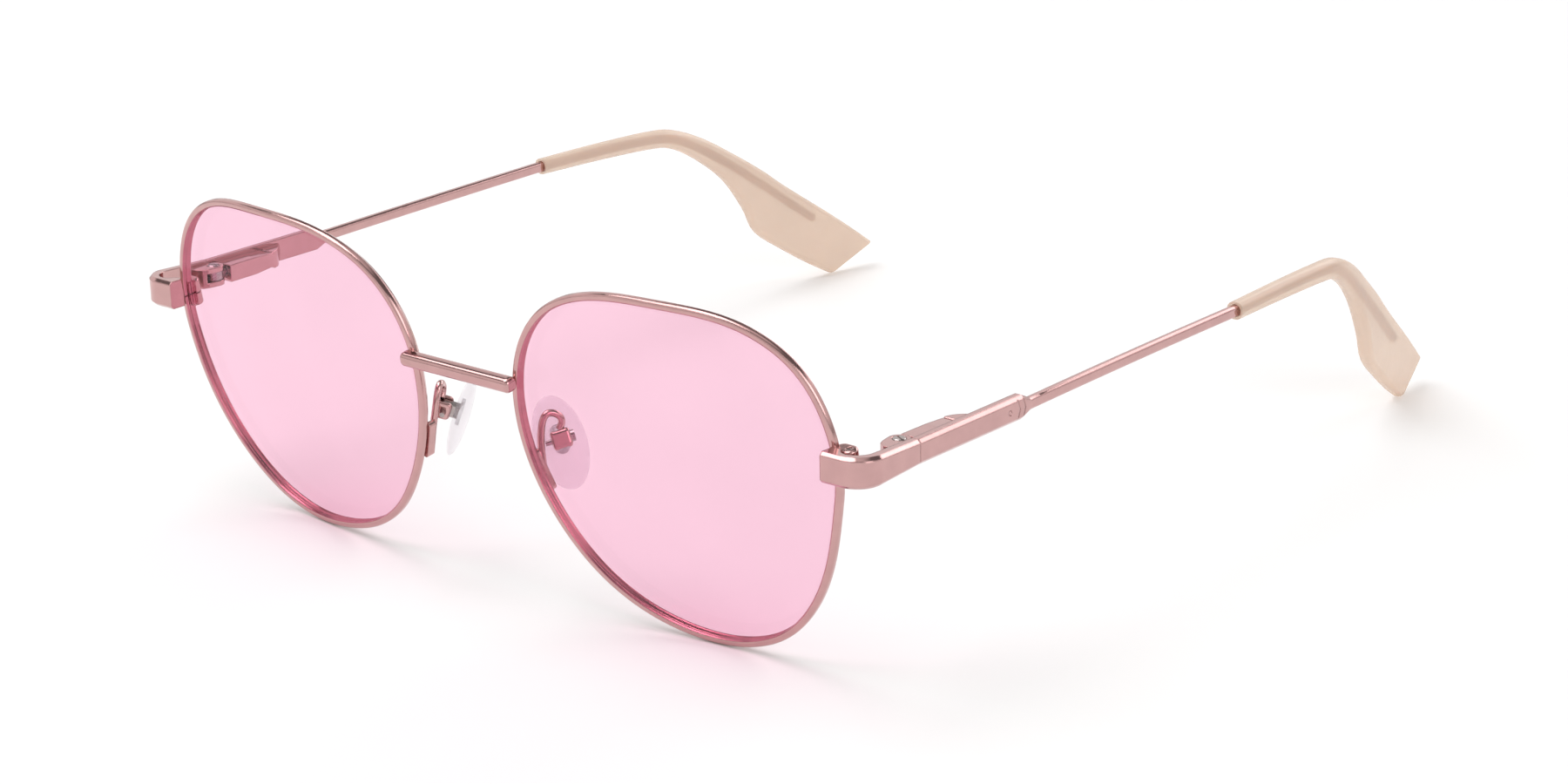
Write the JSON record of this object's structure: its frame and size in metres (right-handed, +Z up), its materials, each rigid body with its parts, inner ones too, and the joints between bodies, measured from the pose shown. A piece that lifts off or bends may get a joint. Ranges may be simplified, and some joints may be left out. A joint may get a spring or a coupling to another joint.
{
  "type": "sunglasses",
  "caption": "Full-rim metal sunglasses with softly angular rounded tinted lenses, a straight bridge, adjustable nose pads, sprung hinges and curved plastic temple tips.",
  "frame": {"origin": "middle of the bounding box at table height, frame open with its rims and tip corners on the table", "axes": "+X towards the wearer's left temple, lenses face -Y, temples run back along +Y, +Z up"},
  "size_m": [0.1376, 0.1614, 0.0497],
  "materials": {
    "frame_metal": "polished rose-gold plating",
    "screw_steel": "turned, lightly polished",
    "spring_steel": "bright spring steel",
    "lens_tint": "clear pink tint, polished",
    "tip_acetate": "translucent cream acetate",
    "pad_silicone": "clear soft silicone"
  },
  "bodies": {
    "front": {"bridge": "frame_metal", "rim_left": "frame_metal", "lens_left": "lens_tint", "rim_lock_upper_left": "frame_metal", "rim_lock_lower_left": "frame_metal", "rim_lock_screw_left": "screw_steel", "end_piece_left": "frame_metal", "hinge_fork_left": "frame_metal", "pad_arm_left": "frame_metal", "pad_box_left": "frame_metal", "pad_screw_left": "screw_steel", "rim_right": "frame_metal", "lens_right": "lens_tint", "rim_lock_upper_right": "frame_metal", "rim_lock_lower_right": "frame_metal", "rim_lock_screw_right": "screw_steel", "end_piece_right": "frame_metal", "hinge_fork_right": "frame_metal", "pad_arm_right": "frame_metal", "pad_box_right": "frame_metal", "pad_screw_right": "screw_steel"},
    "screw_left": {"hinge_screw_left": "screw_steel"},
    "slider_left": {"hinge_slider_left": "spring_steel", "spring_stop_left": "spring_steel", "hinge_spring_left": "spring_steel"},
    "temple_arm_left": {"temple_left": "frame_metal", "temple_tip_left": "tip_acetate", "spring_case_left": "frame_metal", "spring_bush_left": "spring_steel"},
    "pad_left": {"nose_pad_left": "pad_silicone", "pad_insert_left": "screw_steel"},
    "screw_right": {"hinge_screw_right": "screw_steel"},
    "slider_right": {"hinge_slider_right": "spring_steel", "spring_stop_right": "spring_steel", "hinge_spring_right": "spring_steel"},
    "temple_arm_right": {"temple_right": "frame_metal", "temple_tip_right": "tip_acetate", "spring_case_right": "frame_metal", "spring_bush_right": "spring_steel"},
    "pad_right": {"nose_pad_right": "pad_silicone", "pad_insert_right": "screw_steel"}
  },
  "joints": [
    {"name": "temple_fold_left", "type": "hinge", "parent": "front", "child": "screw_left", "pos_m": [0.0648, -0.0654, 0.0318], "axis": [0, 0, 1], "range_deg": [0, 88]},
    {"name": "spring_flex_left", "type": "hinge", "parent": "screw_left", "child": "slider_left", "pos_m": [0.0648, -0.0654, 0.0318], "axis": [0, 0, 1], "range_deg": [-10, 0], "stiffness_Nm_per_rad": 0.4, "springref_deg": 5.73},
    {"name": "slider_travel_left", "type": "slide", "parent": "slider_left", "child": "temple_arm_left", "axis": [0, 1, 0], "range_m": [0, 0.00062]},
    {"name": "pad_rock_left", "type": "hinge", "parent": "front", "child": "pad_left", "pos_m": [0.01121, -0.07108, 0.02344], "axis": [0.5839, 0.7786, 0.2297], "range_deg": [-8, 8]},
    {"name": "temple_fold_right", "type": "hinge", "parent": "front", "child": "screw_right", "pos_m": [-0.0648, -0.0654, 0.0318], "axis": [0, 0, -1], "range_deg": [0, 76]},
    {"name": "spring_flex_right", "type": "hinge", "parent": "screw_right", "child": "slider_right", "pos_m": [-0.0648, -0.0654, 0.0318], "axis": [0, 0, -1], "range_deg": [-10, 0], "stiffness_Nm_per_rad": 0.4, "springref_deg": 5.73},
    {"name": "slider_travel_right", "type": "slide", "parent": "slider_right", "child": "temple_arm_right", "axis": [0, 1, 0], "range_m": [0, 0.00062]},
    {"name": "pad_rock_right", "type": "hinge", "parent": "front", "child": "pad_right", "pos_m": [-0.01121, -0.07108, 0.02344], "axis": [0.5839, -0.7786, -0.2297], "range_deg": [-8, 8]}
  ],
  "couplings": [
    {"joint": "slider_travel_left", "follows": "spring_flex_left", "m_per_rad": -0.0035},
    {"joint": "slider_travel_right", "follows": "spring_flex_right", "m_per_rad": -0.0035}
  ]
}
